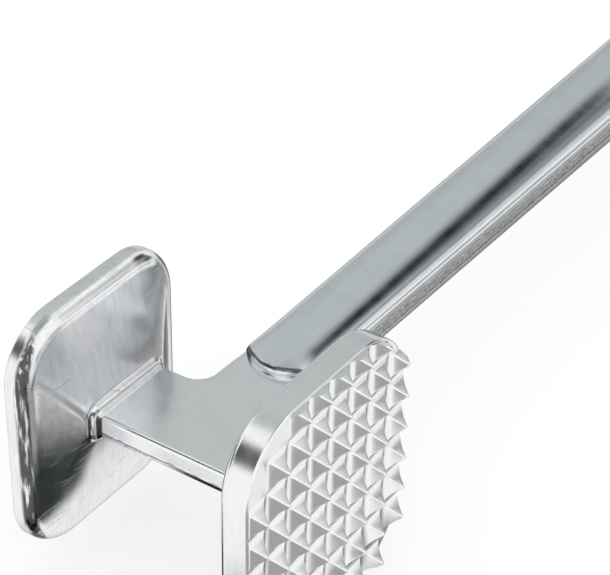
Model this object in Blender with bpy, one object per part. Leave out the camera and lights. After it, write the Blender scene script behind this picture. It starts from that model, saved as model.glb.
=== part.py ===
"""Two-faced aluminium meat mallet, laid on its side.

A flat bridge joins two upright striking plates and runs back as the tang of the handle.
X is the head axis, Y runs along the handle, Z is up, and the unit is the metre.
The coarse plate is at +X and the finer one at -X.  A crowned grip shell lies on each side of the tang.
"""
import math

import bmesh
import bpy
from mathutils import Vector

# Fits and cuts
fit_clearance = 0.0003
cut_overrun = 0.002

# Head, measured from the middle of the bridge
plate_gap = 0.0475

# Coarse plate
coarse_width = 0.0482
coarse_height = 0.0536
coarse_corner = 0.0135
coarse_wall = 0.0044
coarse_columns = 8
coarse_rows = 8
coarse_pitch_y = 0.0062
coarse_pitch_z = 0.0071
coarse_tooth = 0.0028
coarse_tip = 0.0004
coarse_valley = 0.00145
coarse_valley_rise = 0.00065
coarse_front_clip = 0.0200
coarse_handle_clip = 0.0128

# Fine plate
fine_width = 0.0444
fine_height = 0.0512
fine_corner = 0.0120
fine_wall = 0.0026
fine_columns = 13
fine_rows = 15
fine_pitch = 0.0031
fine_tooth = 0.0013
fine_tip = 0.0003
fine_valley = 0.0004
fine_valley_rise = 0.00018

# Pyramid backs of both plates
back_rise = 0.0066
back_round = 0.0017
collar_fillet = 0.0015
collar_lip = 0.0005
socket_depth = 0.0060

# Bridge and tang
bridge_thickness = 0.0050
bridge_front = 0.0071
bridge_back = 0.0120
bridge_edge = 0.0007
crotch_radius = 0.0042
neck_half_width = 0.0080
neck_length = 0.0160
grip_half_width_front = 0.0073
grip_half_width_rear = 0.0087
mallet_length = 0.2350
hang_bore = 0.0070
hang_setback = 0.0085

# Grip shells
grip_setback = 0.0210
grip_tail = 0.0160
grip_crown_front = 0.0026
grip_crown_rear = 0.0052
grip_end_radius = 0.0090
section_power = 2.35
nose_power = 7

# Pegs cast on the tang
peg_diameter = 0.0044
peg_height = 0.0014
peg_shares = (0.14, 0.50, 0.86)

# Hollow of the valley between teeth, as shares of its half width and of its rise
valley_shares = ((0.5, 0.2), (1.0, 1.0))

# Facets of the round forms
corner_steps = 8
round_steps = 5
fillet_steps = 4
section_steps = 22
nose_steps = 9
body_steps = 10
bore_steps = 28
peg_steps = 20
tail_steps = 22
crotch_steps = 8
edge_steps = 2
plate_smooth_angle = math.radians(28)
tang_smooth_angle = math.radians(35)
grip_smooth_angle = math.radians(40)
tang_bevel_angle = math.radians(50)

# Colour and roughness of the cast metal
bridge_finish = ((0.80, 0.81, 0.82), 0.22)
plate_finish = ((0.78, 0.79, 0.80), 0.28)
grip_finish = ((0.74, 0.77, 0.79), 0.25)

# Derived places
bridge_reach = plate_gap / 2 - back_rise
coarse_face_x = plate_gap / 2 + coarse_wall
coarse_tip_x = coarse_face_x + coarse_tooth
fine_face_x = plate_gap / 2 + fine_wall
fine_tip_x = fine_face_x + fine_tooth
mallet_front = -coarse_width / 2
mallet_rear = mallet_front + mallet_length
tang_half = bridge_thickness / 2
grip_seat = tang_half + fit_clearance
grip_rear = mallet_rear - grip_tail
grip_length = grip_rear - grip_setback
neck_rear = bridge_back + crotch_radius + neck_length
middle_x = (coarse_tip_x - fine_tip_x) / 2
middle_y = (mallet_front + mallet_rear) / 2
floor_drop = coarse_height / 2


def clear_scene():
    for old in list(bpy.data.objects):
        bpy.data.objects.remove(old, do_unlink=True)


def cast_metal(name, colour, roughness):
    material = bpy.data.materials.new(name)
    material.use_nodes = True
    shader = material.node_tree.nodes["Principled BSDF"]
    shader.inputs["Base Color"].default_value = (*colour, 1.0)
    shader.inputs["Metallic"].default_value = 1.0
    shader.inputs["Roughness"].default_value = roughness
    return material


def object_from(bm, name):
    """Turn a bmesh into a scene object whose faces point outwards."""
    bmesh.ops.recalc_face_normals(bm, faces=bm.faces)
    mesh = bpy.data.meshes.new(name)
    bm.to_mesh(mesh)
    bm.free()
    made = bpy.data.objects.new(name, mesh)
    bpy.context.scene.collection.objects.link(made)
    return made


def finish_piece(piece, material, parent, smooth_angle):
    piece.data.materials.append(material)
    piece.parent = parent
    piece.data.shade_smooth()
    piece.data.set_sharp_from_angle(angle=smooth_angle)


def boolean(piece, tool, operation):
    """Add a Boolean whose tool stays in the scene as a hidden wire shape."""
    tool.parent = piece.parent
    tool.hide_render = True
    tool.display_type = "WIRE"
    step = piece.modifiers.new(operation.title() + " " + tool.name, "BOOLEAN")
    step.operation = operation
    step.solver = "EXACT"
    step.object = tool


def loft(rings):
    """Skin closed rings of equal point count and cap both ends."""
    bm = bmesh.new()
    loops = [[bm.verts.new(point) for point in ring] for ring in rings]
    for near, far in zip(loops, loops[1:]):
        count = len(near)
        for i in range(count):
            j = (i + 1) % count
            bm.faces.new((near[i], near[j], far[j], far[i]))
    bm.faces.new(list(reversed(loops[0])))
    bm.faces.new(loops[-1])
    return bm


def rounded_rectangle(y_low, y_high, z_low, z_high, radius):
    """Points round a rectangle with arc corners, the same count for every size."""
    centres = (
        (y_high - radius, z_high - radius),
        (y_low + radius, z_high - radius),
        (y_low + radius, z_low + radius),
        (y_high - radius, z_low + radius),
    )
    points = []
    for quarter, (cy, cz) in enumerate(centres):
        for i in range(corner_steps + 1):
            angle = (quarter + i / corner_steps) * math.pi / 2
            points.append((cy + radius * math.cos(angle), cz + radius * math.sin(angle)))
    return points


def box(name, low, high):
    (x0, y0, z0), (x1, y1, z1) = low, high
    bottom = [Vector((x0, y0, z0)), Vector((x1, y0, z0)), Vector((x1, y1, z0)), Vector((x0, y1, z0))]
    top = [Vector((p.x, p.y, z1)) for p in bottom]
    return object_from(loft([bottom, top]), name)


def upright_round(name, x, y, z_low, z_high, diameter, steps):
    """A round bar along Z."""
    rings = []
    for z in (z_low, z_high):
        ring = []
        for i in range(steps):
            angle = 2 * math.pi * i / steps
            ring.append((x + diameter / 2 * math.cos(angle), y + diameter / 2 * math.sin(angle), z))
        rings.append(ring)
    return object_from(loft(rings), name)


# Tooth fields

def inside_rounded(y, z, half_y, half_z, radius):
    """True where a point lies within a rounded rectangle centred on the plate."""
    over_y = max(abs(y) - (half_y - radius), 0)
    over_z = max(abs(z) - (half_z - radius), 0)
    return math.hypot(over_y, over_z) <= radius and abs(y) <= half_y and abs(z) <= half_z


def coarse_tooth_stands(y, z):
    """The front corners of the plate are left smoother than those beside the handle."""
    clip = coarse_handle_clip if y > 0 else coarse_front_clip
    return inside_rounded(y, z, coarse_width / 2, coarse_height / 2, clip)


def fine_tooth_stands(y, z):
    border = fine_pitch / 2
    half_y = fine_width / 2 - border
    half_z = fine_height / 2 - border
    return inside_rounded(y, z, half_y, half_z, fine_corner - border)


def tooth_ring(bm, x, centre, half_y, half_z):
    """Four corners of one level of a tooth."""
    y, z = centre
    corners = ((-half_y, -half_z), (half_y, -half_z), (half_y, half_z), (-half_y, half_z))
    return [bm.verts.new((x, y + dy, z + dz)) for dy, dz in corners]


def tooth_field_cutter(name, counts, pitches, face_x, tooth, stands):
    """The negative of a field of pyramids: it cuts the teeth out of a raised face.

    The cutter's underside has a pyramid in each cell where a tooth stands and is flat elsewhere.
    Each pyramid springs from a hollow slope, so that the grooves between teeth are round.
    One wider cell on each side carries the cutter past the edge of the plate.
    """
    height, tip, valley, valley_rise = tooth
    margin = max(pitches) * 2
    lines = []
    for count, pitch in zip(counts, pitches):
        half = count * pitch / 2
        inner = [-half + pitch * i for i in range(count + 1)]
        lines.append([-half - margin] + inner + [half + margin])
    ys, zs = lines
    bm = bmesh.new()
    grid = [[bm.verts.new((face_x, y, z)) for z in zs] for y in ys]
    for i in range(len(ys) - 1):
        for j in range(len(zs) - 1):
            corners = (grid[i][j], grid[i + 1][j], grid[i + 1][j + 1], grid[i][j + 1])
            y = (ys[i] + ys[i + 1]) / 2
            z = (zs[j] + zs[j + 1]) / 2
            toothed = 0 < i < len(ys) - 2 and 0 < j < len(zs) - 2 and stands(y, z)
            if not toothed:
                bm.faces.new(corners)
                continue
            levels = [corners]
            for in_share, up_share in valley_shares:
                half_y = pitches[0] / 2 - valley * in_share
                half_z = pitches[1] / 2 - valley * in_share
                levels.append(tooth_ring(bm, face_x + valley_rise * up_share, (y, z), half_y, half_z))
            levels.append(tooth_ring(bm, face_x + height, (y, z), tip / 2, tip / 2))
            for lower, upper in zip(levels, levels[1:]):
                for k in range(len(lower)):
                    n = (k + 1) % len(lower)
                    bm.faces.new((lower[k], lower[n], upper[n], upper[k]))
            bm.faces.new(levels[-1])
    rim = [edge for edge in bm.edges if edge.is_boundary]
    raised = bmesh.ops.extrude_edge_only(bm, edges=rim)
    lifted = [item for item in raised["geom"] if isinstance(item, bmesh.types.BMVert)]
    bmesh.ops.translate(bm, verts=lifted, vec=(height + cut_overrun * 2, 0, 0))
    bmesh.ops.contextual_create(bm, geom=[edge for edge in bm.edges if edge.is_boundary])
    return object_from(bm, name)


# Striking plates

def plate_rings(width, height, corner, wall, raised_front):
    """Rings of a plate at +X, from the collar round the bridge out to the striking side."""
    half_y = width / 2
    half_z = height / 2
    lip_x = plate_gap / 2
    seat = fit_clearance + collar_lip
    profile = []
    for i in range(fillet_steps + 1):
        turn = math.pi / 2 * i / fillet_steps
        spread = seat + collar_fillet * (1 - math.cos(turn))
        depth = collar_fillet * math.sin(turn)
        outline = rounded_rectangle(
            -bridge_front - spread,
            bridge_back + spread,
            -tang_half - spread,
            tang_half + spread,
            bridge_edge + spread,
        )
        profile.append((bridge_reach + depth, outline))
    for i in range(round_steps + 1):
        turn = math.pi / 2 * i / round_steps
        inset = back_round * (1 - math.sin(turn))
        outline = rounded_rectangle(
            -half_y + inset,
            half_y - inset,
            -half_z + inset,
            half_z - inset,
            corner - inset,
        )
        profile.append((lip_x - back_round * math.cos(turn), outline))
    front = rounded_rectangle(-half_y, half_y, -half_z, half_z, corner)
    profile.append((lip_x + wall + raised_front, front))
    return [[(x, y, z) for y, z in outline] for x, outline in profile]


def mirror_x(piece):
    """Turn a piece made at +X over to -X, keeping its faces outward."""
    bm = bmesh.new()
    bm.from_mesh(piece.data)
    for vert in bm.verts:
        vert.co.x = -vert.co.x
    bmesh.ops.reverse_faces(bm, faces=bm.faces)
    bm.to_mesh(piece.data)
    bm.free()


def striking_plate(name, size, corner, wall, field, material, parent, turned):
    width, height = size
    counts, pitches, tooth, stands = field
    raised = tooth[0] + cut_overrun
    plate = object_from(loft(plate_rings(width, height, corner, wall, raised)), name)
    face_x = plate_gap / 2 + wall
    cutter = tooth_field_cutter(name + "_teeth_cutter", counts, pitches, face_x, tooth, stands)
    socket = box(
        name + "_socket_cutter",
        (bridge_reach - cut_overrun, -bridge_front - fit_clearance, -tang_half - fit_clearance),
        (bridge_reach + socket_depth, bridge_back + fit_clearance, tang_half + fit_clearance),
    )
    if turned:
        for piece in (plate, cutter, socket):
            mirror_x(piece)
    finish_piece(plate, material, parent, plate_smooth_angle)
    boolean(plate, cutter, "DIFFERENCE")
    boolean(plate, socket, "DIFFERENCE")
    return plate


# Bridge and tang

def handle_half_width(y):
    """Half the width of the tang and grip: drawn in behind the neck, then widening to the rear."""
    if y < neck_rear:
        start = bridge_back + crotch_radius
        share = (y - start) / (neck_rear - start)
        eased = (1 - math.cos(math.pi * max(share, 0))) / 2
        return neck_half_width + (grip_half_width_front - neck_half_width) * eased
    share = (y - neck_rear) / (mallet_rear - neck_rear)
    return grip_half_width_front + (grip_half_width_rear - grip_half_width_front) * share


def bridge_tang_outline():
    """Half of the T-shaped outline, from the front of the bridge round to the end of the tang."""
    arm = bridge_reach + socket_depth - fit_clearance
    points = [(arm, -bridge_front), (arm, bridge_back)]
    centre_x = neck_half_width + crotch_radius
    centre_y = bridge_back + crotch_radius
    for i in range(crotch_steps + 1):
        turn = math.pi / 2 * i / crotch_steps
        x = centre_x - crotch_radius * math.sin(turn)
        y = centre_y - crotch_radius * math.cos(turn)
        points.append((x, y))
    for i in range(1, crotch_steps):
        y = centre_y + neck_length * i / crotch_steps
        points.append((handle_half_width(y), y))
    tail_radius = grip_half_width_rear
    tail_y = mallet_rear - tail_radius
    for i in range(body_steps + 1):
        y = neck_rear + (tail_y - neck_rear) * i / body_steps
        points.append((handle_half_width(y), y))
    tail_half = handle_half_width(tail_y)
    for i in range(1, tail_steps // 2):
        turn = math.pi / 2 * i / (tail_steps // 2)
        points.append((tail_half * math.cos(turn), tail_y + tail_radius * math.sin(turn)))
    return points


def bridge_tang(material, parent):
    half = bridge_tang_outline()
    outline = half + [(0, mallet_rear)] + [(-x, y) for x, y in reversed(half)]
    low = [(x, y, -tang_half) for x, y in outline]
    high = [(x, y, tang_half) for x, y in outline]
    tang = object_from(loft([low, high]), "bridge_tang")
    finish_piece(tang, material, parent, tang_smooth_angle)
    edges = tang.modifiers.new("Rounded edges", "BEVEL")
    edges.width = bridge_edge
    edges.segments = edge_steps
    edges.limit_method = "ANGLE"
    edges.angle_limit = tang_bevel_angle
    bore = upright_round(
        "hanging_bore_cutter",
        0,
        mallet_rear - hang_setback,
        -tang_half - cut_overrun,
        tang_half + cut_overrun,
        hang_bore,
        bore_steps,
    )
    boolean(tang, bore, "DIFFERENCE")
    reach = tang_half + peg_height
    for number, share in enumerate(peg_shares, 1):
        y = grip_setback + grip_length * share
        peg = upright_round(f"tang_peg_{number}_form", 0, y, -reach, reach, peg_diameter, peg_steps)
        boolean(tang, peg, "UNION")
    return tang


# Grip shells

def superellipse(angle, power):
    """Unit point at an angle on a curve squarer than a circle."""
    c = math.cos(angle)
    s = math.sin(angle)
    return math.copysign(abs(c) ** (2 / power), c), abs(s) ** (2 / power)


def grip_stations():
    """Places along the grip with the half width and the share of full crown there.

    Each end is an arc in plan that runs out to the sides of the tang, with a steep wall round it.
    """
    stations = []
    for i in range(1, nose_steps + 1):
        turn = math.pi / 2 * i / nose_steps
        along = 1 - math.cos(turn)
        crown_share = (1 - (1 - along) ** nose_power) ** (1 / nose_power)
        stations.append((grip_setback + grip_end_radius * along, grip_end_radius * math.sin(turn), crown_share))
    rear = [(grip_setback + grip_rear - y, half, crown) for y, half, crown in reversed(stations)]
    start = stations[-1][0]
    end = rear[0][0]
    middle = []
    for i in range(1, body_steps):
        middle.append((start + (end - start) * i / body_steps, grip_end_radius, 1))
    return [(y, min(half, handle_half_width(y)), crown) for y, half, crown in stations + middle + rear]


def grip_shell(name, side, material, parent):
    """One crowned shell.  side is 1 on top of the tang and -1 underneath."""
    rings = []
    for y, half, crown_share in grip_stations():
        along = (y - grip_setback) / grip_length
        crown = grip_crown_front + (grip_crown_rear - grip_crown_front) * along
        ring = []
        for i in range(section_steps + 1):
            across, up = superellipse(math.pi * i / section_steps, section_power)
            z = grip_seat + crown * crown_share * up
            ring.append((half * across, y, side * z))
        rings.append(ring)
    shell = object_from(loft(rings), name)
    finish_piece(shell, material, parent, grip_smooth_angle)
    hole_depth = tang_half + peg_height + fit_clearance
    hole_start = tang_half - cut_overrun / 2
    for number, share in enumerate(peg_shares, 1):
        y = grip_setback + grip_length * share
        ends = sorted((side * hole_start, side * hole_depth))
        width = peg_diameter + 2 * fit_clearance
        hole = upright_round(f"{name}_peg_hole_{number}_cutter", 0, y, *ends, width, peg_steps)
        boolean(shell, hole, "DIFFERENCE")
    return shell


def build():
    clear_scene()
    root = bpy.data.objects.new("mallet", None)
    bpy.context.scene.collection.objects.link(root)
    root.location = (-middle_x, -middle_y, floor_drop)
    bridge_metal = cast_metal("bridge aluminium", *bridge_finish)
    plate_metal = cast_metal("plate aluminium", *plate_finish)
    grip_metal = cast_metal("grip aluminium", *grip_finish)
    bridge_tang(bridge_metal, root)
    coarse_field = (
        (coarse_columns, coarse_rows),
        (coarse_pitch_y, coarse_pitch_z),
        (coarse_tooth, coarse_tip, coarse_valley, coarse_valley_rise),
        coarse_tooth_stands,
    )
    coarse_size = (coarse_width, coarse_height)
    striking_plate(
        "coarse_face_plate", coarse_size, coarse_corner, coarse_wall, coarse_field, plate_metal, root, False
    )
    fine_field = (
        (fine_columns, fine_rows),
        (fine_pitch, fine_pitch),
        (fine_tooth, fine_tip, fine_valley, fine_valley_rise),
        fine_tooth_stands,
    )
    fine_size = (fine_width, fine_height)
    striking_plate("fine_face_plate", fine_size, fine_corner, fine_wall, fine_field, plate_metal, root, True)
    grip_shell("upper_grip_shell", 1, grip_metal, root)
    grip_shell("lower_grip_shell", -1, grip_metal, root)


build()
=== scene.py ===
"""Cast aluminium meat mallet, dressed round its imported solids.

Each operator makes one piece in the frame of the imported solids, which the piece then stands for.
The mallet lies on its side: X is the axis of the head, Y runs along the handle and Z is up.
"""
import math

import bmesh
import bpy
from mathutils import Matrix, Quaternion, Vector, noise


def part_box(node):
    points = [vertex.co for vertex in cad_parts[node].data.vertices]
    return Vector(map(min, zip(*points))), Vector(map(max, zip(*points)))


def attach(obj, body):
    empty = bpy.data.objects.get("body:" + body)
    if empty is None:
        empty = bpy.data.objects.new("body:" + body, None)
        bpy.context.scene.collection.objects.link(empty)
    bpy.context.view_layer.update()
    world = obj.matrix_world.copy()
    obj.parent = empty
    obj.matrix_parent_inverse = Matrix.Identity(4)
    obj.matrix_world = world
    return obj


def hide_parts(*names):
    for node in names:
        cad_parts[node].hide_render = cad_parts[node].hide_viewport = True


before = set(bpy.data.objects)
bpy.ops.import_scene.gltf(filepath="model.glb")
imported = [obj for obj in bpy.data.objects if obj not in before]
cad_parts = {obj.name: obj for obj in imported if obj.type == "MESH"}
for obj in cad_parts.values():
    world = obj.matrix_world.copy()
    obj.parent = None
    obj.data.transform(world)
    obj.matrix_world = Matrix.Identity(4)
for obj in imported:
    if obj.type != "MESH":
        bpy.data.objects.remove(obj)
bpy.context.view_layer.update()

bl_info = {
    "name": "Cast Meat Mallet",
    "version": (1, 0, 0),
    "blender": (4, 5, 0),
    "location": "3D View > Sidebar > Mallet",
    "description": "Makes the polished and cast surfaces of a toothed meat mallet",
    "category": "Object",
}

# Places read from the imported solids
tang_low, tang_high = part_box("bridge_tang")
coarse_low, coarse_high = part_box("coarse_face_plate")
fine_low, fine_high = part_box("fine_face_plate")
grip_low, grip_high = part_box("upper_grip_shell")
head_middle = Vector((
    (tang_low.x + tang_high.x) / 2,
    (coarse_low.y + coarse_high.y) / 2,
    (coarse_low.z + coarse_high.z) / 2,
))


# The room that only the metal sees: its level, and flat cards that face the mallet, where a later card
# lies over an earlier one.  Azimuth from the handle's direction towards +X, elevation, width, height and
# soft edge are in degrees, and the card's level comes last
room_level = (1.05, 1.05, 1.05)
room_cards = tuple((*(math.radians(angle) for angle in card[:-1]), card[-1]) for card in (
    (-44, 37, 58, 74, 18, (0.53, 0.56, 0.56)),
    (0, 90, 42, 42, 10, (0.30, 0.31, 0.31)),
    (39, 19, 18, 48, 8, (0.64, 0.64, 0.65)),
    (21, 14, 26, 30, 8, (0.03, 0.03, 0.03)),
    (-143, 35, 34, 28, 10, (0.04, 0.04, 0.04)),
    (-108, 4, 40, 24, 8, (0.05, 0.05, 0.05)),
))
# Horizontal cards beside and over the mallet that only the metal sees: the middle in metres, turn in
# degrees, width, depth and soft edge in metres, and the card's level
near_cards = (
    ((0.152, 0.190, 0.1205), 0, 0.244, 0.230, 0.050, (0.30, 0.30, 0.30)),
    ((0.010, 0.082, 0.1200), 9, 0.056, 0.175, 0.036, (0.010, 0.012, 0.013)),
    ((0.048, 0.165, 0.1203), 0, 0.050, 0.280, 0.040, (0.16, 0.165, 0.17)),
    ((0.225, 0.250, 0.0002), 0, 0.150, 0.300, 0.060, (0.24, 0.24, 0.24)),
    ((0.017, 0.050, 0.0002), 0, 0.040, 0.260, 0.008, (0.42, 0.42, 0.42)),
    ((-0.055, 0.047, 0.0002), 0, 0.060, 0.205, 0.010, (0.19, 0.19, 0.19)),
    ((-0.084, -0.084, 0.0002), 0, 0.092, 0.057, 0.010, (0.16, 0.16, 0.16)),
    ((0.0110, -0.1070, 0.0002), 0, 0.052, 0.033, 0.004, (0.020, 0.024, 0.024)),
    ((-0.0010, -0.0880, 0.0003), 0, 0.024, 0.022, 0.004, (0.020, 0.024, 0.024)),
    ((-0.0210, -0.1200, 0.0003), 0, 0.012, 0.010, 0.004, (0.04, 0.04, 0.04)),
    ((0.018, -0.131, 0.0002), -37, 0.018, 0.028, 0.012, (0.46, 0.48, 0.46)),
    ((0.062, -0.140, 0.0002), 0, 0.075, 0.085, 0.030, (0.41, 0.40, 0.385)),
)


# Sizes and colours that a user would change

def length(name, description, default):
    return bpy.props.FloatProperty(
        name=name, description=description, default=default, min=0.0, precision=5,
        subtype="DISTANCE", unit="LENGTH",
    )


def share(name, description, default):
    return bpy.props.FloatProperty(name=name, description=description, default=default, min=0.0, max=1.0)


def whole_number(name, description, default):
    return bpy.props.IntProperty(name=name, description=description, default=default)


def plain_number(name, description, default):
    return bpy.props.FloatProperty(name=name, description=description, default=default)


def view_angle(name, description, degrees):
    return bpy.props.FloatProperty(
        name=name, description=description, default=math.radians(degrees), subtype="ANGLE"
    )


def colour(name, description, default):
    return bpy.props.FloatVectorProperty(
        name=name, description=description, default=default, size=3, min=0.0, max=1.0, subtype="COLOR"
    )


class BridgeSizes(bpy.types.PropertyGroup):
    plate_gap: length("Plate gap", "Between the inner lips of the two striking plates", 0.0475)
    thickness: length("Thickness", "Of the bridge and tang", 0.0050)
    front: length("Front reach", "From the head's middle to the bridge's front face", 0.0071)
    back: length("Back reach", "From the head's middle to the bridge's back face", 0.0120)
    edge: length("Edge radius", "On the long edges of the bridge and tang", 0.0009)
    crotch: length("Crotch radius", "Where the bridge turns into the handle", 0.0042)
    neck_half: length("Neck half width", "Just behind the bridge", 0.0080)
    neck_length: length("Neck length", "Over which the neck draws in", 0.0160)
    grip_half_front: length("Half width, front", "Of the handle behind the neck", 0.0073)
    grip_half_rear: length("Half width, rear", "Of the handle at its end", 0.0087)
    bore: length("Hanging bore", "Diameter of the hole in the tab", 0.0070)
    bore_setback: length("Bore setback", "From the end of the handle to the bore's middle", 0.0085)
    bore_round: length("Bore round", "Radius on the rims of the bore", 0.0006)
    flash_height: length("Flash height", "Of the parting ridge left by casting", 0.00016)
    flash_width: length("Flash width", "Of the parting ridge at half its height", 0.00045)


plate_texts = {
    "corner": (length, "Corner radius", "Of the plate's outline"),
    "wall": (length, "Wall", "From the inner lip to the foot of the teeth"),
    "lip": (length, "Lip radius", "Where the back turns into the plate's wall"),
    "lip_setback": (length, "Lip setback", "How far into the wall the lip's round starts"),
    "columns": (whole_number, "Columns", "Teeth along the handle's direction"),
    "rows": (whole_number, "Rows", "Teeth up the plate"),
    "pitch_y": (length, "Pitch along", "Between columns of teeth"),
    "pitch_z": (length, "Pitch up", "Between rows of teeth"),
    "tooth": (length, "Tooth height", "From the foot to the tip"),
    "tip": (length, "Tip width", "Across the blunt tip"),
    "valley": (length, "Valley", "Half width of the hollow between teeth"),
    "valley_rise": (length, "Valley rise", "Of the hollow's side"),
    "ridge": (length, "Ridge radius", "On the edges of a tooth"),
    "clip_front": (length, "Front clip", "Corner of the toothed field away from the handle"),
    "clip_handle": (length, "Handle clip", "Corner of the toothed field beside the handle"),
    "border": (length, "Border", "Smooth width round the toothed field"),
}


def plate_sizes(**values):
    """The sizes that both plates have, with the values of one of them."""
    return {name: kind(title, text, values[name]) for name, (kind, title, text) in plate_texts.items()}


class CoarsePlateSizes(bpy.types.PropertyGroup):
    __annotations__ = plate_sizes(
        corner=0.0135, wall=0.0044, lip=0.0017, lip_setback=0.0,
        columns=8, rows=8, pitch_y=0.0062, pitch_z=0.0071,
        tooth=0.0028, tip=0.0004, valley=0.00145, valley_rise=0.00065, ridge=0.00036,
        clip_front=0.0200, clip_handle=0.0128, border=0.0,
    )


class FinePlateSizes(bpy.types.PropertyGroup):
    __annotations__ = plate_sizes(
        corner=0.0120, wall=0.0026, lip=0.0032, lip_setback=0.0009,
        columns=13, rows=15, pitch_y=0.0031, pitch_z=0.0031,
        tooth=0.0013, tip=0.0003, valley=0.0004, valley_rise=0.00018, ridge=0.00010,
        clip_front=0.01045, clip_handle=0.01045, border=0.00155,
    )


class BackSizes(bpy.types.PropertyGroup):
    rise: length("Rise", "Of the pyramid back, from the lip to the bridge's end", 0.0066)
    fillet: length("Fillet", "Round the foot of the bridge", 0.0015)
    bead: length("Bead", "How far the collar stands off the bridge", 0.0008)
    sag: length("Sag", "How hollow the back is between collar and lip", 0.00015)
    front_round: length("Front round", "Radius on the edge of the striking side", 0.0004)


class GripSizes(bpy.types.PropertyGroup):
    crown_front: length("Crown, front", "Height of the shell behind the neck", 0.0026)
    crown_rear: length("Crown, rear", "Height of the shell at its end", 0.0052)
    end_dip: share("End dip", "Share of the crown that is lost towards each end", 0.46)
    end_radius: length("End radius", "Of the arc that each end has in plan", 0.0090)
    section_power: plain_number("Section power", "Squareness of the section, where 2 is an ellipse", 2.35)
    end_edge: length("End edge", "Radius on the top edge of each end's wall", 0.0009)


class FinishLooks(bpy.types.PropertyGroup):
    bridge: colour("Bridge colour", "Polished cast bridge and tang", (0.90, 0.91, 0.92))
    plate: colour("Plate colour", "Both striking plates", (0.89, 0.90, 0.91))
    grip: colour("Grip colour", "Polished grip shells", (0.83, 0.865, 0.885))
    polished: share("Polished roughness", "Of all the metals", 0.20)


class StageLooks(bpy.types.PropertyGroup):
    lens: plain_number("Lens", "Focal length in millimetres", 132.07)
    azimuth: view_angle("Azimuth", "Turn of the view from the handle's direction", 34.048)
    elevation: view_angle("Elevation", "Height of the camera above the mallet", 35.033)
    roll: view_angle("Roll", "Turn of the picture about the line of sight", 0.915)
    camera_place: bpy.props.FloatVectorProperty(
        name="Camera place", description="Where the camera stands", default=(0.19148, -0.34553, 0.28373),
        subtype="TRANSLATION", unit="LENGTH", size=3,
    )


# Mesh helpers

def loft(rings):
    """Skin closed rings of equal point count and cap both ends."""
    bm = bmesh.new()
    loops = [[bm.verts.new(point) for point in ring] for ring in rings]
    for near, far in zip(loops, loops[1:]):
        count = len(near)
        for i in range(count):
            j = (i + 1) % count
            bm.faces.new((near[i], near[j], far[j], far[i]))
    bm.faces.new(list(reversed(loops[0])))
    bm.faces.new(loops[-1])
    return bm


def mesh_from(bm, name):
    mesh = bpy.data.meshes.new(name)
    bm.to_mesh(mesh)
    bm.free()
    return mesh


def linked(name, data):
    """A new object in the scene."""
    made = bpy.data.objects.new(name, data)
    bpy.context.scene.collection.objects.link(made)
    return made


def object_from(bm, name):
    """Turn a bmesh into an object whose faces point outwards."""
    bmesh.ops.recalc_face_normals(bm, faces=bm.faces)
    return linked(name, mesh_from(bm, name))


def baked(holder):
    """A plain mesh of an object as its modifiers leave it."""
    graph = bpy.context.evaluated_depsgraph_get()
    return bpy.data.meshes.new_from_object(holder.evaluated_get(graph))


def discard(*objects):
    for old in objects:
        mesh = old.data
        bpy.data.objects.remove(old, do_unlink=True)
        bpy.data.meshes.remove(mesh)


def cut(piece, tool):
    """Take the tool's volume out of the piece and remove the tool."""
    step = piece.modifiers.new("Cut", "BOOLEAN")
    step.operation = "DIFFERENCE"
    step.solver = "EXACT"
    step.object = tool
    carved = baked(piece)
    piece.modifiers.remove(step)
    old = piece.data
    piece.data = carved
    bpy.data.meshes.remove(old)
    discard(tool)


def settle(piece, material, node, smooth_angle):
    """Shade a finished piece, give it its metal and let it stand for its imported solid."""
    mesh = piece.data
    mesh.materials.clear()
    mesh.materials.append(material)
    for face in mesh.polygons:
        face.material_index = 0
    mesh.shade_smooth()
    mesh.set_sharp_from_angle(angle=smooth_angle)
    even = piece.modifiers.new("Even normals", "WEIGHTED_NORMAL")
    even.keep_sharp = True
    shaded = baked(piece)
    piece.modifiers.remove(even)
    piece.data = shaded
    bpy.data.meshes.remove(mesh)
    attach(piece, "root")
    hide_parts(node)


def quarter_turn(steps, first=0):
    """Angles of a quarter turn in even steps."""
    return [math.pi / 2 * i / steps for i in range(first, steps + 1)]


def rounded_rectangle(y_low, y_high, z_low, z_high, radius, steps=18):
    """Points round a rectangle with arc corners, the same count for every size."""
    centres = (
        (y_high - radius, z_high - radius),
        (y_low + radius, z_high - radius),
        (y_low + radius, z_low + radius),
        (y_high - radius, z_low + radius),
    )
    points = []
    for quarter, (cy, cz) in enumerate(centres):
        for i in range(steps + 1):
            angle = (quarter + i / steps) * math.pi / 2
            points.append((cy + radius * math.cos(angle), cz + radius * math.sin(angle)))
    return points


# Tooth fields

# Turn of the hollow's arc up to the tooth's foot, and the power that makes a tooth's flank hollow
valley_turn = math.radians(42)
flank_power = 1.2
tile_steps = 2
# As shares of the tip's half width: how far its rim lies under the flat top, the rim's corner radius, and
# the half width and corner radius of the flat top
rim_drop, rim_corner, flat_half, flat_corner = 0.3, 0.8, 0.55, 0.4


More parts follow.
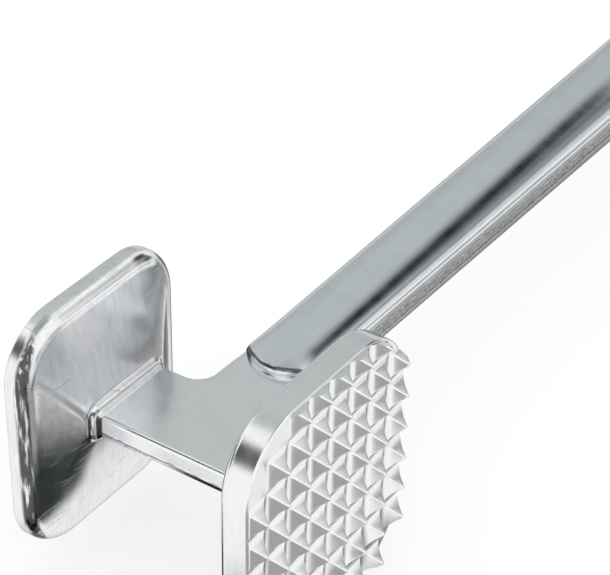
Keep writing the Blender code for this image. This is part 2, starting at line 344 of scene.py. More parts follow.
def tooth_rings(sizes):
    """Levels of one tooth as (half width across, half width up, height, corner radius)."""
    half_y = sizes.pitch_y / 2
    half_z = sizes.pitch_z / 2
    tip = sizes.tip / 2
    rings = []
    valley_steps = 5
    for i in range(1, valley_steps + 1):
        turn = valley_turn * i / valley_steps
        inset = sizes.valley * math.sin(turn) / math.sin(valley_turn)
        rise = sizes.valley_rise * (1 - math.cos(turn)) / (1 - math.cos(valley_turn))
        rings.append((half_y - inset, half_z - inset, rise, sizes.ridge))
    foot_y, foot_z, foot_height, _ = rings[-1]
    climb_steps = 4
    for i in range(1, climb_steps + 1):
        climb = i / climb_steps
        rings.append((
            foot_y + (tip - foot_y) * climb,
            foot_z + (tip - foot_z) * climb,
            foot_height + (sizes.tooth - tip * rim_drop - foot_height) * climb ** flank_power,
            sizes.ridge + (tip * rim_corner - sizes.ridge) * climb,
        ))
    rings.append((tip * flat_half, tip * flat_half, sizes.tooth, tip * flat_corner))
    return rings


def tooth_tile(name, sizes, standing):
    """One square of a tooth field, made flat: a pyramid with rounded ridges, or bare ground.

    The rim of the square has the same points with and without a tooth, so that tiles meet.
    """
    half_y = sizes.pitch_y / 2
    half_z = sizes.pitch_z / 2
    rim = rounded_rectangle(-half_y, half_y, -half_z, half_z, sizes.ridge, tile_steps)
    for corner, (side_y, side_z) in enumerate(((1, 1), (-1, 1), (-1, -1), (1, -1))):
        rim[corner * (tile_steps + 1) + tile_steps // 2] = (side_y * half_y, side_z * half_z)
    bm = bmesh.new()
    lower = [bm.verts.new((y, z, 0)) for y, z in rim]
    if standing:
        for ring_y, ring_z, height, radius in tooth_rings(sizes):
            outline = rounded_rectangle(-ring_y, ring_y, -ring_z, ring_z, radius, tile_steps)
            upper = [bm.verts.new((y, z, height)) for y, z in outline]
            for i in range(len(lower)):
                j = (i + 1) % len(lower)
                bm.faces.new((lower[i], lower[j], upper[j], upper[i]))
            lower = upper
    bm.faces.new(lower)
    return linked(name, mesh_from(bm, name))


class NodeTree:
    """Adds and joins the nodes of one tree."""

    def __init__(self, tree):
        self.tree = tree

    def node(self, kind, inputs=(), **settings):
        made = self.tree.nodes.new(kind)
        for name, value in settings.items():
            setattr(made, name, value)
        for key, value in dict(inputs).items():
            self.feed(made.inputs[key], value)
        return made

    def feed(self, socket, value):
        """Join an output to a socket, or set the socket to a plain value."""
        if isinstance(value, bpy.types.NodeSocket):
            self.tree.links.new(value, socket)
        elif isinstance(value, bpy.types.Node):
            self.tree.links.new(value.outputs[0], socket)
        else:
            socket.default_value = value

    def math(self, operation, *values):
        made = self.tree.nodes.new("ShaderNodeMath")
        made.operation = operation
        for socket, value in zip(made.inputs, values):
            self.feed(socket, value)
        return made.outputs[0]

    def plus(self, first, second):
        return self.math("ADD", first, second)

    def minus(self, first, second):
        return self.math("SUBTRACT", first, second)

    def times(self, first, second):
        return self.math("MULTIPLY", first, second)

    def most(self, first, second):
        return self.math("MAXIMUM", first, second)

    def size(self, value):
        """A value without its sign."""
        return self.math("ABSOLUTE", value)

    def faded(self, away, reach, soft):
        """1 within a reach and 0 beyond it, over a soft edge."""
        return self.node("ShaderNodeMapRange", {
            "Value": away,
            "From Min": reach - soft / 2,
            "From Max": reach + soft / 2,
            "To Min": 1.0,
            "To Max": 0.0,
        }, interpolation_type="SMOOTHSTEP").outputs[0]

    def blend(self, share, first, second):
        """The colour that lies a share of the way from the first to the second."""
        made = self.node("ShaderNodeMix", {0: share, 6: first, 7: second}, data_type="RGBA")
        return made.outputs[2]

    def dot(self, direction, axis):
        made = self.node("ShaderNodeVectorMath", {0: direction, 1: axis}, operation="DOT_PRODUCT")
        return made.outputs["Value"]

    def parts(self, vector):
        return self.node("ShaderNodeSeparateXYZ", {0: vector}).outputs

    def place(self):
        """Where a point of the surface lies."""
        return self.node("ShaderNodeTexCoord").outputs["Object"]

    def facing(self):
        """The parts of the direction that the surface faces."""
        return self.parts(self.node("ShaderNodeNewGeometry").outputs["Normal"])

    def noise(self, place, scale, detail=0.0):
        """Smooth noise of so many lumps to a metre."""
        inputs = {"Vector": place, "Scale": scale, "Detail": detail}
        return self.node("ShaderNodeTexNoise", inputs).outputs[0]

    def wander(self, place, scale, amount):
        """A wobble to both sides of zero."""
        return self.times(self.minus(self.noise(place, scale, detail=2.0), 0.5), amount)

    def bump(self, height, depth, **under):
        """The surface's direction, disturbed by a height that goes up to a depth."""
        return self.node("ShaderNodeBump", {"Height": height, "Strength": 1.0, "Distance": depth, **under})


def tooth_field_tree(values):
    """A grid of tiles: the toothed tile where a tooth stands, the bare one elsewhere."""
    group = bpy.data.node_groups.new("tooth_field", "GeometryNodeTree")
    for name, (kind, _) in values.items():
        group.interface.new_socket(name=name, in_out="INPUT", socket_type="NodeSocket" + kind)
    group.interface.new_socket(name="Geometry", in_out="OUTPUT", socket_type="NodeSocketGeometry")
    tree = NodeTree(group)
    given = tree.node("NodeGroupInput").outputs
    span_y = tree.times(tree.minus(given["Columns"], 1), given["Pitch Along"])
    span_z = tree.times(tree.minus(given["Rows"], 1), given["Pitch Up"])
    grid = tree.node("GeometryNodeMeshGrid", {
        "Size X": span_y,
        "Size Y": span_z,
        "Vertices X": given["Columns"],
        "Vertices Y": given["Rows"],
    })
    place = tree.parts(tree.node("GeometryNodeInputPosition"))
    beside_handle = tree.math("GREATER_THAN", place[0], 0)
    clip = tree.node("GeometryNodeSwitch", input_type="FLOAT")
    tree.feed(clip.inputs[0], beside_handle)
    tree.feed(clip.inputs[1], given["Front Clip"])
    tree.feed(clip.inputs[2], given["Handle Clip"])
    reach = []
    inside = []
    for axis, half in ((0, given["Half Width"]), (1, given["Half Height"])):
        away = tree.size(place[axis])
        over = tree.most(tree.minus(away, tree.minus(half, clip)), 0)
        reach.append(tree.times(over, over))
        inside.append(tree.math("LESS_THAN", away, half))
    from_corner = tree.math("SQRT", tree.plus(*reach))
    in_corner = tree.math("LESS_THAN", from_corner, clip)
    stands = tree.times(in_corner, tree.times(*inside))
    bare = tree.minus(1, stands)
    both = tree.node("GeometryNodeJoinGeometry")
    for tile, where in ((given["Tooth"], stands), (given["Ground"], bare)):
        shape = tree.node("GeometryNodeObjectInfo", {"Object": tile})
        placed = tree.node("GeometryNodeInstanceOnPoints", {
            "Points": grid.outputs["Mesh"],
            "Selection": where,
            "Instance": shape.outputs["Geometry"],
        })
        tree.feed(both.inputs[0], placed)
    real = tree.node("GeometryNodeRealizeInstances", {"Geometry": both})
    coated = tree.node("GeometryNodeSetMaterial", {"Geometry": real, "Material": given["Material"]})
    tree.node("NodeGroupOutput", {"Geometry": coated})
    return group


def tooth_sheet(name, sizes, width, height, material):
    """The tooth field as one open sheet, lying flat with its teeth up."""
    tiles = [tooth_tile(name + "_tooth", sizes, True), tooth_tile(name + "_ground", sizes, False)]
    holder = linked(name + "_sheet", bpy.data.meshes.new(name + "_sheet"))
    values = {
        "Tooth": ("Object", tiles[0]),
        "Ground": ("Object", tiles[1]),
        "Columns": ("Int", sizes.columns),
        "Rows": ("Int", sizes.rows),
        "Pitch Along": ("Float", sizes.pitch_y),
        "Pitch Up": ("Float", sizes.pitch_z),
        "Half Width": ("Float", width / 2 - sizes.border),
        "Half Height": ("Float", height / 2 - sizes.border),
        "Front Clip": ("Float", sizes.clip_front),
        "Handle Clip": ("Float", sizes.clip_handle),
        "Material": ("Material", material),
    }
    group = tooth_field_tree(values)
    field = holder.modifiers.new("Tooth field", "NODES")
    field.node_group = group
    for item in group.interface.items_tree:
        if item.in_out == "INPUT":
            field[item.identifier] = values[item.name][1]
    sheet = baked(holder)
    discard(holder, *tiles)
    bpy.data.node_groups.remove(group)
    return sheet


def extruded_rim(bm):
    """Extrude the open edges in place and give back the new points."""
    rim = [edge for edge in bm.edges if edge.is_boundary]
    made = bmesh.ops.extrude_edge_only(bm, edges=rim)["geom"]
    return [item for item in made if isinstance(item, bmesh.types.BMVert)]


def tooth_cutter(name, sizes, width, height, material, side):
    """The negative of the tooth field, closed on top and wider than the plate."""
    margin = width / 2
    headroom = sizes.tooth * 3
    weld = sizes.tip / 20
    near = sizes.tip / 10
    sheet = tooth_sheet(name, sizes, width, height, material)
    bm = bmesh.new()
    bm.from_mesh(sheet)
    bpy.data.meshes.remove(sheet)
    bmesh.ops.remove_doubles(bm, verts=bm.verts, dist=weld)
    edge_y = sizes.columns * sizes.pitch_y / 2
    edge_z = sizes.rows * sizes.pitch_z / 2
    for vert in extruded_rim(bm):
        if abs(vert.co.x) > edge_y - near:
            vert.co.x += math.copysign(margin, vert.co.x)
        if abs(vert.co.y) > edge_z - near:
            vert.co.y += math.copysign(margin, vert.co.y)
    for vert in extruded_rim(bm):
        vert.co.z += headroom
    bmesh.ops.contextual_create(bm, geom=[edge for edge in bm.edges if edge.is_boundary])
    bridge = bpy.context.scene.mallet_bridge
    face_x = bridge.plate_gap / 2 + sizes.wall
    for vert in bm.verts:
        across, up, out = vert.co
        vert.co = head_middle + Vector((side * (face_x + out), across, up))
    return object_from(bm, name + "_cutter")


# Striking plates

def plate_rings(sizes, back, width, height):
    """Rings of a plate at +X as (depth, outline), from the collar round the bridge to the striking side."""
    bridge = bpy.context.scene.mallet_bridge
    half_y = width / 2
    half_z = height / 2
    lip_x = bridge.plate_gap / 2
    collar_x = lip_x - back.rise
    face_x = lip_x + sizes.wall
    half_bridge = bridge.thickness / 2

    def collar(spread):
        return (
            -bridge.front - spread, bridge.back + spread, -half_bridge - spread, half_bridge + spread,
            bridge.edge + spread,
        )

    def rim(inset):
        return (-half_y + inset, half_y - inset, -half_z + inset, half_z - inset, sizes.corner - inset)

    profile = []
    bead_steps = 8
    for i in range(bead_steps + 1):
        turn = math.pi * i / bead_steps
        if turn < math.pi / 2:
            stand = back.bead * (1 - math.cos(turn / 2))
        else:
            stand = back.bead * math.sin(turn / 2) ** 2
        profile.append((collar_x + back.bead * (1 - math.cos(turn)) / 2 - back.bead / 2, collar(stand)))
    fillet_steps = 10
    for turn in quarter_turn(fillet_steps, first=1):
        spread = back.bead + back.fillet * (1 - math.cos(turn))
        profile.append((collar_x + back.bead / 2 + back.fillet * math.sin(turn), collar(spread)))
    start_x, start = profile[-1]
    round_x = lip_x + sizes.lip_setback
    end_x = round_x - sizes.lip
    end = rim(sizes.lip)
    flank_steps = 14
    for i in range(1, flank_steps):
        along = i / flank_steps
        outline = tuple(a + (b - a) * along for a, b in zip(start, end))
        depth = start_x + (end_x - start_x) * along + back.sag * 4 * along * (1 - along)
        profile.append((depth, outline))
    lip_steps = 12
    for turn in quarter_turn(lip_steps):
        profile.append((round_x - sizes.lip * math.cos(turn), rim(sizes.lip * (1 - math.sin(turn)))))
    front_steps = 5
    for turn in quarter_turn(front_steps):
        inset = back.front_round * (1 - math.cos(turn))
        profile.append((face_x - back.front_round * (1 - math.sin(turn)), rim(inset)))
    beyond_tips = sizes.tooth * 2
    profile.append((face_x + beyond_tips, rim(back.front_round)))
    return profile


def striking_plate(name, sizes, low, high, side, material, node):
    """One plate with its pyramid back and its teeth.  side is 1 towards +X and -1 towards -X."""
    back = bpy.context.scene.mallet_back
    width = high.y - low.y
    height = high.z - low.z
    rings = []
    for depth, outline in plate_rings(sizes, back, width, height):
        points = rounded_rectangle(*outline)
        rings.append([head_middle + Vector((side * depth, y, z)) for y, z in points])
    plate = object_from(loft(rings), name)
    cut(plate, tooth_cutter(name, sizes, width, height, material, side))
    settle(plate, material, node, smooth_angle=math.radians(38))


# Bridge and tang

# Section of the parting ridge, as shares of its width and of its height
flash_section = ((1.0, 0), (0.45, 0.5), (0.15, 1), (-0.15, 1), (-0.45, 0.5), (-1.0, 0))
# The ridge's mean height as a share, how far it swings about that, and its lumps to a metre
flash_share, flash_swing, flash_lumps = 0.65, 0.6, 700


def handle_half_width(y):
    """Half the width of the tang and grip at a place along the handle from the head's middle."""
    bridge = bpy.context.scene.mallet_bridge
    start = bridge.back + bridge.crotch
    neck_rear = start + bridge.neck_length
    rear = tang_high.y - head_middle.y
    if y < neck_rear:
        eased = (1 - math.cos(math.pi * max((y - start) / bridge.neck_length, 0))) / 2
        return bridge.neck_half + (bridge.grip_half_front - bridge.neck_half) * eased
    along = (y - neck_rear) / (rear - neck_rear)
    return bridge.grip_half_front + (bridge.grip_half_rear - bridge.grip_half_front) * along


def bridge_tang_outline():
    """The T-shaped outline, counter-clockwise from the front of the right arm."""
    bridge = bpy.context.scene.mallet_bridge
    step = 0.0008
    arm = (tang_high.x - tang_low.x) / 2
    rear = tang_high.y - head_middle.y
    centre_x = bridge.neck_half + bridge.crotch
    centre_y = bridge.back + bridge.crotch
    tail_y = rear - bridge.grip_half_rear
    half = [(arm, -bridge.front), (arm, bridge.back)]
    crotch_steps = 16
    for turn in quarter_turn(crotch_steps):
        half.append((centre_x - bridge.crotch * math.sin(turn), centre_y - bridge.crotch * math.cos(turn)))
    count = round((tail_y - centre_y) / step)
    for i in range(1, count + 1):
        y = centre_y + (tail_y - centre_y) * i / count
        half.append((handle_half_width(y), y))
    tail_half = handle_half_width(tail_y)
    tail_steps = 28
    for turn in quarter_turn(tail_steps, first=1)[:-1]:
        half.append((tail_half * math.cos(turn), tail_y + bridge.grip_half_rear * math.sin(turn)))
    front_count = round(2 * arm / step)
    front = [(-arm + 2 * arm * i / front_count, -bridge.front) for i in range(1, front_count)]
    return half + [(0, rear)] + [(-x, y) for x, y in reversed(half)] + front


def outward(points):
    """For each point of a counter-clockwise outline, the move that takes both its sides out by one."""
    normals = []
    for i, point in enumerate(points):
        ahead = []
        for start, end in ((points[i - 1], point), (point, points[(i + 1) % len(points)])):
            run = (Vector(end) - Vector(start)).normalized()
            ahead.append(Vector((run.y, -run.x)))
        normals.append((ahead[0] + ahead[1]) / (1 + ahead[0].dot(ahead[1])))
    return normals


def bridge_tang(material):
    """The flat casting with round edges, a ragged parting ridge and the hanging bore."""
    bridge = bpy.context.scene.mallet_bridge
    half = bridge.thickness / 2
    flat_inset = bridge.edge * 1.5
    outline = bridge_tang_outline()
    normals = outward(outline)
    tail_y = tang_high.y - head_middle.y - bridge.grip_half_rear
    seams = []
    for x, y in outline:
        on_front = y <= -bridge.front
        place = -half + bridge.edge + bridge.flash_width if on_front else 0
        ragged = flash_share + flash_swing * noise.noise(Vector((x, y, 0)) * flash_lumps)
        beside = max(1 - max(y - tail_y, 0) / bridge.flash_width, 0)
        seams.append((place, bridge.flash_height * ragged * beside))
    levels = []
    edge_steps = 6
    for turn in quarter_turn(edge_steps):
        levels.append((half - bridge.edge * (1 - math.sin(turn)), bridge.edge * (1 - math.cos(turn))))
    levels.append((half, flat_inset))
    levels.reverse()

    def ring(heights_and_insets):
        made = []
        for (x, y), normal, (z, inset) in zip(outline, normals, heights_and_insets):
            made.append(head_middle + Vector((x - normal.x * inset, y - normal.y * inset, z)))
        return made

    rings = [ring([level] * len(outline)) for level in levels]
    for place, bulge in flash_section:
        rings.append(ring([(seam + bridge.flash_width * place, -height * bulge) for seam, height in seams]))
    rings += [ring([(-z, inset)] * len(outline)) for z, inset in reversed(levels)]
    tang = object_from(loft(rings), "cast_bridge_and_tang")
    cut(tang, bore_cutter())
    settle(tang, material, "bridge_tang", smooth_angle=math.radians(35))


def bore_cutter():
    """A spool that leaves the hanging bore with rounded rims."""
    bridge = bpy.context.scene.mallet_bridge
    half = bridge.thickness / 2
    radius = bridge.bore / 2
    rim = bridge.bore_round
    centre = head_middle.copy()
    centre.y = tang_high.y - bridge.bore_setback
    profile = [(radius + rim, half + rim)]
    rim_steps = 6
    for turn in quarter_turn(rim_steps):
        profile.append((radius + rim * (1 - math.sin(turn)), half - rim * (1 - math.cos(turn))))
    profile += [(r, -z) for r, z in reversed(profile)]
    around = 64
    rings = []
    for r, z in profile:
        ring = []
        for i in range(around):
            turn = 2 * math.pi * i / around
            ring.append(centre + Vector((r * math.cos(turn), r * math.sin(turn), z)))
        rings.append(ring)
    return object_from(loft(rings), "bore_cutter")


# Grip shells

def sideways(angle, power):
    """How far to the side a curve squarer than a circle lies at an angle."""
    c = math.cos(angle)
    return math.copysign(abs(c) ** (2 / power), c)


def grip_stations(grip, front, rear):
    """Places along the grip with the half width in plan and the distance to the nearer end."""
    nose_steps = 30
    body_steps = 60
    nose = []
    for turn in quarter_turn(nose_steps, first=1):
        nose.append((grip.end_radius * (1 - math.cos(turn)), grip.end_radius * math.sin(turn)))
    start = front + grip.end_radius
    end = rear - grip.end_radius
    places = [start + (end - start) * i / body_steps for i in range(1, body_steps)]
    body = [(y, grip.end_radius, grip.end_radius) for y in places]
    ends = [(front + inward, half, inward) for inward, half in nose]
    tail = [(rear - inward, half, inward) for inward, half in reversed(nose)]
    return [(y, min(half, handle_half_width(y)), inward) for y, half, inward in ends + body + tail]


def grip_shell(name, side, material, node):
    """One crowned shell with upright end walls.  side is 1 on top of the tang and -1 underneath."""
    grip = bpy.context.scene.mallet_grip
    bridge = bpy.context.scene.mallet_bridge
    front = grip_low.y - head_middle.y
    rear = grip_high.y - head_middle.y
    seat = bridge.thickness / 2
    sunk = 0.00005
    section_steps = 84
    rings = []
    for y, half, inward in grip_stations(grip, front, rear):
        along = (y - front) / (rear - front)
        crown = grip.crown_front + (grip.crown_rear - grip.crown_front) * along
        crown += grip_low.z - head_middle.z - seat
        crown *= 1 - grip.end_dip * (1 - inward / grip.end_radius) ** 2
        full = handle_half_width(y)
        ring = []
        for i in range(section_steps + 1):
            x = half * sideways(math.pi * i / section_steps, grip.section_power)
            up = (1 - min(abs(x) / full, 1) ** grip.section_power) ** (1 / grip.section_power)
            from_wall = grip.end_radius - math.hypot(x, grip.end_radius - inward)
            short = 1 - min(max(from_wall, 0) / grip.end_edge, 1)
            wall = math.sqrt(1 - short ** 2) if inward < grip.end_radius else 1
            ring.append(head_middle + Vector((x, y, side * (seat - sunk + crown * up * wall))))
        rings.append(ring)
    shell = object_from(loft(rings), name)
    settle(shell, material, node, smooth_angle=math.radians(40))


# Metals

# Colours laid over the metal: the painted dark reflection on the fine plate's lip and on the grip's front
# end, and the dark parting line
lip_reflection_colour = (0.07, 0.065, 0.06)
end_reflection_and_shade_colour = (0.07, 0.075, 0.08)
parting_skin = (0.10, 0.10, 0.10)
# How much of it shows in the parting line and in the specks under it
line_share, speck_share = 0.85, 0.38
# In widths of the parting ridge: how high its dark line lies beside the handle, how far it wanders and
# how far it reaches
line_rise, line_wander, line_reach = 0.6, 1.6, 0.4
# What the metal mirrors at a grazing angle
edge_tint = (0.55, 0.56, 0.58, 1)
# Tones of the metal's colour, as factors
dark_patch, light_patch, worn_tone = 0.92, 1.06, 0.5
# Roughness where the noise is low and where it is high, as factors
patch_low, patch_high = 0.3, 0.7
smooth_patch, dull_patch = 0.8, 1.25
# How deep the waves, the grain and the scratches go, and how dark a scratch is
wave_depth, grain_depth, scratch_depth = 0.00004, 0.000007, 0.00002
scratch_share = 0.35
# Lean and seed of each set of scratches
scratch_sets = ((0.5, 3.0), (2.1, 11.0))


def toned(tint, tone):
    """A colour made darker or lighter by a factor."""
    return (*(min(channel * tone, 1.0) for channel in tint), 1)


def metal(name, tint, stretch, mottle, scratched):
    """Bright aluminium with soft waves, a fine grain, a mottled skin and scratches.

    The stretch draws out waves, grain and mottle, and the last two values are shares.
    """
    roughness = bpy.context.scene.mallet_finish.polished
    material = bpy.data.materials.new(name)
    material.use_nodes = True
    tree = NodeTree(material.node_tree)
    shader = material.node_tree.nodes["Principled BSDF"]
    place = tree.place()
    drawn = tree.node("ShaderNodeMapping", {"Vector": place, "Scale": stretch})
    shader.inputs["Metallic"].default_value = 1.0
    shader.inputs["Specular Tint"].default_value = edge_tint
    patches = tree.noise(place, scale=160.0, detail=4.0)
    marks = tree.noise(drawn, scale=900.0, detail=4.0)
    skin = tree.blend(patches, toned(tint, dark_patch), toned(tint, light_patch))
    worn = tree.times(tree.faded(marks, reach=0.47, soft=0.16), mottle)
    scratch = scratches(tree, place)
    worn = tree.most(worn, tree.times(scratch, scratch_share * scratched))
    tree.feed(shader.inputs["Base Color"], tree.blend(worn, skin, toned(tint, worn_tone)))
    rough = tree.node("ShaderNodeMapRange", {
        "Value": patches,
        "From Min": patch_low,
        "From Max": patch_high,
        "To Min": roughness * smooth_patch,
        "To Max": roughness * dull_patch,
    })
    tree.feed(shader.inputs["Roughness"], rough)
    soft = tree.bump(tree.noise(drawn, scale=90.0, detail=2.0), wave_depth)
    fine = tree.bump(tree.noise(drawn, scale=1500.0, detail=3.0), grain_depth, Normal=soft)
    cuts = tree.bump(tree.minus(1, scratch), scratch_depth * scratched, Normal=fine)
    tree.feed(shader.inputs["Normal"], cuts)
    return material


def scratches(tree, place):
    """Sparse hairline scratches, as 1 on a scratch and 0 beside it."""
    total = 0.0
    for lean, seed in scratch_sets:
        turned = tree.node("ShaderNodeMapping", {
            "Vector": place,
            "Location": (seed, seed, seed),
            "Rotation": (lean, lean * 0.6, lean),
            "Scale": (1.0, 0.07, 1.0),
        })
        cells = tree.noise(turned, scale=420.0)
        hair = tree.faded(tree.size(tree.minus(cells, 0.5)), reach=0.006, soft=0.008)
        few = tree.faded(tree.noise(place, scale=130.0 + seed), reach=0.62, soft=0.04)
        total = tree.most(total, tree.times(hair, tree.minus(1, few)))
    return total


def darken(material, share, skin, strength=1.0):
    """Lay a dark colour over a share of the metal: the painted dark reflection on the lip and the grip's
    front end, and the dark parting line.
    """
    tree = NodeTree(material.node_tree)
    socket = material.node_tree.nodes["Principled BSDF"].inputs["Base Color"]
    tree.feed(socket, tree.blend(tree.times(share, strength), socket.links[0].from_socket, (*skin, 1)))


def paint_lip_reflection(material):
    """Paint streaks of dark reflection, picked by the way the surface faces, on the lip that faces the
    bridge and away from the handle.
    """
    tree = NodeTree(material.node_tree)
    facing = tree.facing()
    inward = tree.minus(1, tree.faded(facing[0], reach=0.22, soft=0.25))
    forward = tree.faded(facing[1], reach=-0.50, soft=0.15)
    drawn = tree.node("ShaderNodeMapping", {"Vector": tree.place(), "Scale": (1.0, 1.0, 0.12)})
    streaks = tree.faded(tree.noise(drawn, scale=1600.0, detail=3.0), reach=0.60, soft=0.22)
    share = tree.times(tree.times(inward, forward), streaks)
    darken(material, share, lip_reflection_colour, strength=0.95)


def paint_grip_end_reflection_and_shade(material):
    """Paint a dark reflection in a line along the round of the grip's front end, and painted shade on its
    left flank.
    """
    tree = NodeTree(material.node_tree)
    facing = tree.facing()
    up = tree.plus(facing[2], tree.wander(tree.place(), scale=450.0, amount=0.35))
    forward = tree.faded(facing[1], reach=-0.30, soft=0.20)
    line = tree.times(tree.faded(tree.size(tree.minus(up, 0.70)), reach=0.20, soft=0.20), forward)
    left = tree.faded(facing[0], reach=-0.48, soft=0.16)
    flank = tree.times(left, tree.faded(facing[1], reach=-0.20, soft=0.20))
    low = tree.faded(up, reach=0.80, soft=0.20)
    darken(material, tree.most(line, tree.times(flank, low)), end_reflection_and_shade_colour, strength=0.92)


def rough_side(material):
    """Darken the parting line round the bridge and tang, and speckle the rough cast side under it."""
    bridge = bpy.context.scene.mallet_bridge
    width = bridge.flash_width
    tree = NodeTree(material.node_tree)
    place = tree.place()
    parts = tree.parts(place)
    height = tree.minus(parts[2], head_middle.z)
    behind = tree.math("GREATER_THAN", parts[1], head_middle.y)
    side = tree.faded(tree.size(tree.facing()[2]), reach=0.8, soft=0.3)
    front_drop = bridge.thickness / 2 - bridge.edge - width
    lowered = tree.times(tree.minus(1, behind), front_drop)
    raised = tree.times(behind, width * line_rise)
    seam = tree.minus(tree.plus(height, lowered), raised)
    wander = tree.wander(place, scale=500.0, amount=width * line_wander)
    line = tree.faded(tree.size(tree.plus(seam, wander)), reach=width * line_reach, soft=width)
    below = tree.faded(seam, reach=0, soft=width)
    specks = tree.faded(tree.noise(place, scale=1300.0, detail=3.0), reach=0.46, soft=0.1)
    worn = tree.most(tree.times(line, line_share), tree.times(tree.times(specks, below), speck_share))
    darken(material, tree.times(side, worn), parting_skin)


# Stage

white = (1, 1, 1, 1)
table_half = 20.0
table_grey = (0.95, 0.95, 0.95, 1)
# The table glows to the metal, and to the camera by a share, so that it shows nearly white
table_glow = 1.05
glow_to_camera = 0.7
# Keeps a division away from zero
least_ahead = 0.01


def bare_tree(owner):
    """The emptied node tree of a material or world."""
    owner.use_nodes = True
    for old in list(owner.node_tree.nodes):
        owner.node_tree.nodes.remove(old)
    return NodeTree(owner.node_tree)


def studio_world():
    """White to the camera; to the metal, a pale room with grey and black cards."""
    world = bpy.data.worlds.new("studio")
    bpy.context.scene.world = world
    tree = bare_tree(world)
    direction = tree.node("ShaderNodeTexCoord").outputs["Generated"]
    seen = (*room_level, 1)
    for card in room_cards:
        seen = tree.blend(card_cover(tree, direction, *card[:-1]), seen, (*card[-1], 1))
    room = tree.node("ShaderNodeBackground", {"Color": seen})
    plain = tree.node("ShaderNodeBackground", {"Color": white})
    rays = tree.node("ShaderNodeLightPath").outputs
    mixed = tree.node("ShaderNodeMixShader", {0: rays["Is Glossy Ray"], 1: plain, 2: room})
    tree.node("ShaderNodeOutputWorld", {"Surface": mixed})


def card_cover(tree, direction, azimuth, elevation, width, height, soft):
    """How far a direction lies on a flat card that faces the mallet, from 0 beside it to 1 on it."""
    level = Vector((math.sin(azimuth), math.cos(azimuth), 0))
    centre = level * math.cos(elevation) + Vector((0, 0, math.sin(elevation)))
    side = Vector((level.y, -level.x, 0))
    ahead = tree.dot(direction, centre)
    cover = tree.math("GREATER_THAN", ahead, 0)
    for axis, span in ((side, width), (side.cross(centre), height)):
        away = tree.size(tree.dot(direction, axis))
        slope = tree.math("DIVIDE", away, tree.most(ahead, least_ahead))
        cover = tree.times(cover, tree.faded(tree.math("ARCTANGENT", slope), span / 2, soft))
    return cover


def studio_floor():
    """A wide pale table that shows white and keeps a soft shadow."""
    bm = bmesh.new()
    bmesh.ops.create_grid(bm, x_segments=1, y_segments=1, size=table_half)
    floor = object_from(bm, "studio_floor")
    material = bpy.data.materials.new("pale table")
    tree = bare_tree(material)
    lit = tree.node("ShaderNodeBsdfDiffuse", {"Color": table_grey})
    glowing = tree.node("ShaderNodeEmission", {"Color": white, "Strength": table_glow})
    rays = tree.node("ShaderNodeLightPath").outputs
    mirrored = tree.most(rays["Is Glossy Ray"], rays["Is Transmission Ray"])
    seen = tree.most(tree.times(rays["Is Camera Ray"], glow_to_camera), mirrored)
    mixed = tree.node("ShaderNodeMixShader", {0: seen, 1: lit, 2: glowing})
    tree.node("ShaderNodeOutputMaterial", {"Surface": mixed})
    floor.data.materials.append(material)


def studio_card(name, middle, turn, width, depth, soft, level):
    """A horizontal card with soft edges that only mirrored rays meet."""
    bm = bmesh.new()
    bmesh.ops.create_grid(bm, x_segments=1, y_segments=1, size=0.5)
    for vert in bm.verts:
        vert.co.x *= width + soft
        vert.co.y *= depth + soft
    card = object_from(bm, name)
    card.location = middle
    card.rotation_euler.z = math.radians(turn)
    for ray in ("camera", "diffuse", "transmission", "volume_scatter", "shadow"):
        setattr(card, "visible_" + ray, False)
    material = bpy.data.materials.new(name)
    tree = bare_tree(material)
    place = tree.parts(tree.place())
    cover = 1.0
    for axis, span in ((0, width), (1, depth)):
        cover = tree.times(cover, tree.faded(tree.size(place[axis]), span / 2, soft))
    clear = tree.node("ShaderNodeBsdfTransparent")
    shade = tree.node("ShaderNodeEmission", {"Color": (*level, 1)})
    mixed = tree.node("ShaderNodeMixShader", {0: cover, 1: clear, 2: shade})
    tree.node("ShaderNodeOutputMaterial", {"Surface": mixed})
    card.data.materials.append(material)


def photo_camera():
    """The camera of the photo's view."""
    looks = bpy.context.scene.mallet_stage
    data = bpy.data.cameras.new("view_camera")
    data.lens = looks.lens
    data.clip_start = 0.01
    data.clip_end = 100
    camera = linked("view_camera", data)
    level = math.cos(looks.elevation)
    sight = Vector((
        -math.sin(looks.azimuth) * level,
        math.cos(looks.azimuth) * level,
        -math.sin(looks.elevation),
    ))
    camera.location = looks.camera_place
    camera.rotation_mode = "QUATERNION"
    turn = sight.to_track_quat("-Z", "Y")
    camera.rotation_quaternion = turn @ Quaternion((0, 0, 1), looks.roll)
    bpy.context.scene.camera = camera


# Operators

class MALLET_OT_bridge_tang(bpy.types.Operator):
    """Make the flat bridge that runs back as the tang and hanging tab"""
    bl_idname = "mallet.bridge_tang"
    bl_label = "Bridge and Tang"

    def execute(self, context):
        looks = context.scene.mallet_finish
        skin = metal("polished bridge", looks.bridge, stretch=(1, 1, 1), mottle=0.03, scratched=0.15)
        rough_side(skin)
        bridge_tang(skin)
        return {"FINISHED"}


class MALLET_OT_coarse_plate(bpy.types.Operator):
    """Make the plate with the large pyramid teeth"""
    bl_idname = "mallet.coarse_plate"
    bl_label = "Coarse Plate"

    def execute(self, context):
        looks = context.scene.mallet_finish
        skin = metal("coarse plate", looks.plate, stretch=(1, 1, 0.3), mottle=0.05, scratched=0.08)
        striking_plate(
            "coarse_striking_plate", context.scene.mallet_coarse, coarse_low, coarse_high,
            1, skin, "coarse_face_plate",
        )
        return {"FINISHED"}


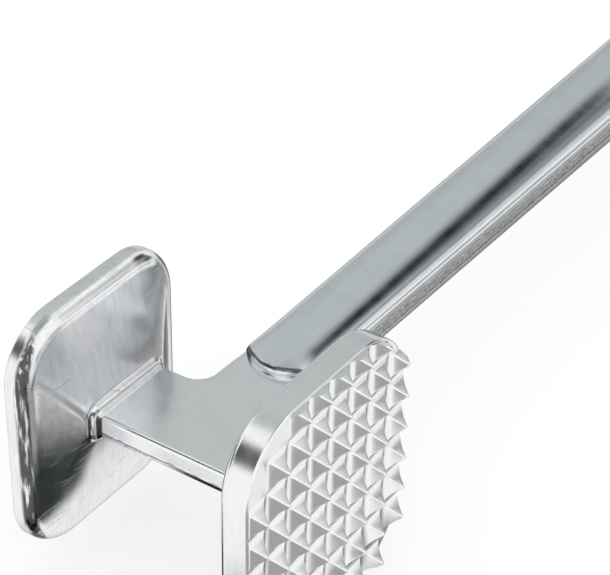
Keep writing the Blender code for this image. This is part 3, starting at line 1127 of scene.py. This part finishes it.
class MALLET_OT_fine_plate(bpy.types.Operator):
    """Make the plate with the small pyramid teeth"""
    bl_idname = "mallet.fine_plate"
    bl_label = "Fine Plate"

    def execute(self, context):
        looks = context.scene.mallet_finish
        skin = metal("fine plate", looks.plate, stretch=(1, 1, 0.25), mottle=0.12, scratched=0.7)
        # Painted dark reflection, in streaks, on the fine plate's lip
        paint_lip_reflection(skin)
        striking_plate(
            "fine_striking_plate", context.scene.mallet_fine, fine_low, fine_high,
            -1, skin, "fine_face_plate",
        )
        return {"FINISHED"}


class MALLET_OT_grip_shells(bpy.types.Operator):
    """Make the crowned shells on both sides of the tang"""
    bl_idname = "mallet.grip_shells"
    bl_label = "Grip Shells"

    def execute(self, context):
        looks = context.scene.mallet_finish
        skin = metal("polished grip", looks.grip, stretch=(1, 0.06, 1), mottle=0.06, scratched=0.12)
        # Painted dark reflection along the grip's front end, and painted shade on its left flank
        paint_grip_end_reflection_and_shade(skin)
        grip_shell("upper_grip", 1, skin, "upper_grip_shell")
        grip_shell("lower_grip", -1, skin, "lower_grip_shell")
        return {"FINISHED"}


class MALLET_OT_stage(bpy.types.Operator):
    """Set up the pale table, the plain studio light and the camera"""
    bl_idname = "mallet.stage"
    bl_label = "Stage"

    def execute(self, context):
        context.scene.view_settings.view_transform = "Standard"
        photo_camera()
        studio_floor()
        for i, card in enumerate(near_cards):
            studio_card(f"studio_card_{i + 1}", *card)
        studio_world()
        return {"FINISHED"}


class MALLET_PT_panel(bpy.types.Panel):
    """Sizes, colours and buttons of the mallet"""
    bl_label = "Meat Mallet"
    bl_idname = "MALLET_PT_panel"
    bl_space_type = "VIEW_3D"
    bl_region_type = "UI"
    bl_category = "Mallet"

    def draw(self, context):
        scene = context.scene
        for title, owner in property_owners.items():
            box = self.layout.box()
            box.label(text=title.replace("mallet_", "").title())
            group = getattr(scene, title)
            for name in owner.__annotations__:
                box.prop(group, name)
        for operator in piece_operators:
            self.layout.operator(operator.bl_idname)


property_owners = {
    "mallet_bridge": BridgeSizes,
    "mallet_coarse": CoarsePlateSizes,
    "mallet_fine": FinePlateSizes,
    "mallet_back": BackSizes,
    "mallet_grip": GripSizes,
    "mallet_finish": FinishLooks,
    "mallet_stage": StageLooks,
}
piece_operators = (
    MALLET_OT_stage,
    MALLET_OT_bridge_tang,
    MALLET_OT_coarse_plate,
    MALLET_OT_fine_plate,
    MALLET_OT_grip_shells,
)
classes = (*property_owners.values(), *piece_operators, MALLET_PT_panel)


def register():
    for owner in classes:
        bpy.utils.register_class(owner)
    for name, owner in property_owners.items():
        setattr(bpy.types.Scene, name, bpy.props.PointerProperty(type=owner))


def unregister():
    for name in property_owners:
        delattr(bpy.types.Scene, name)
    for owner in reversed(classes):
        bpy.utils.unregister_class(owner)


def main():
    register()
    for operator in piece_operators:
        group, name = operator.bl_idname.split(".")
        getattr(getattr(bpy.ops, group), name)()


if __name__ == "__main__":
    main()
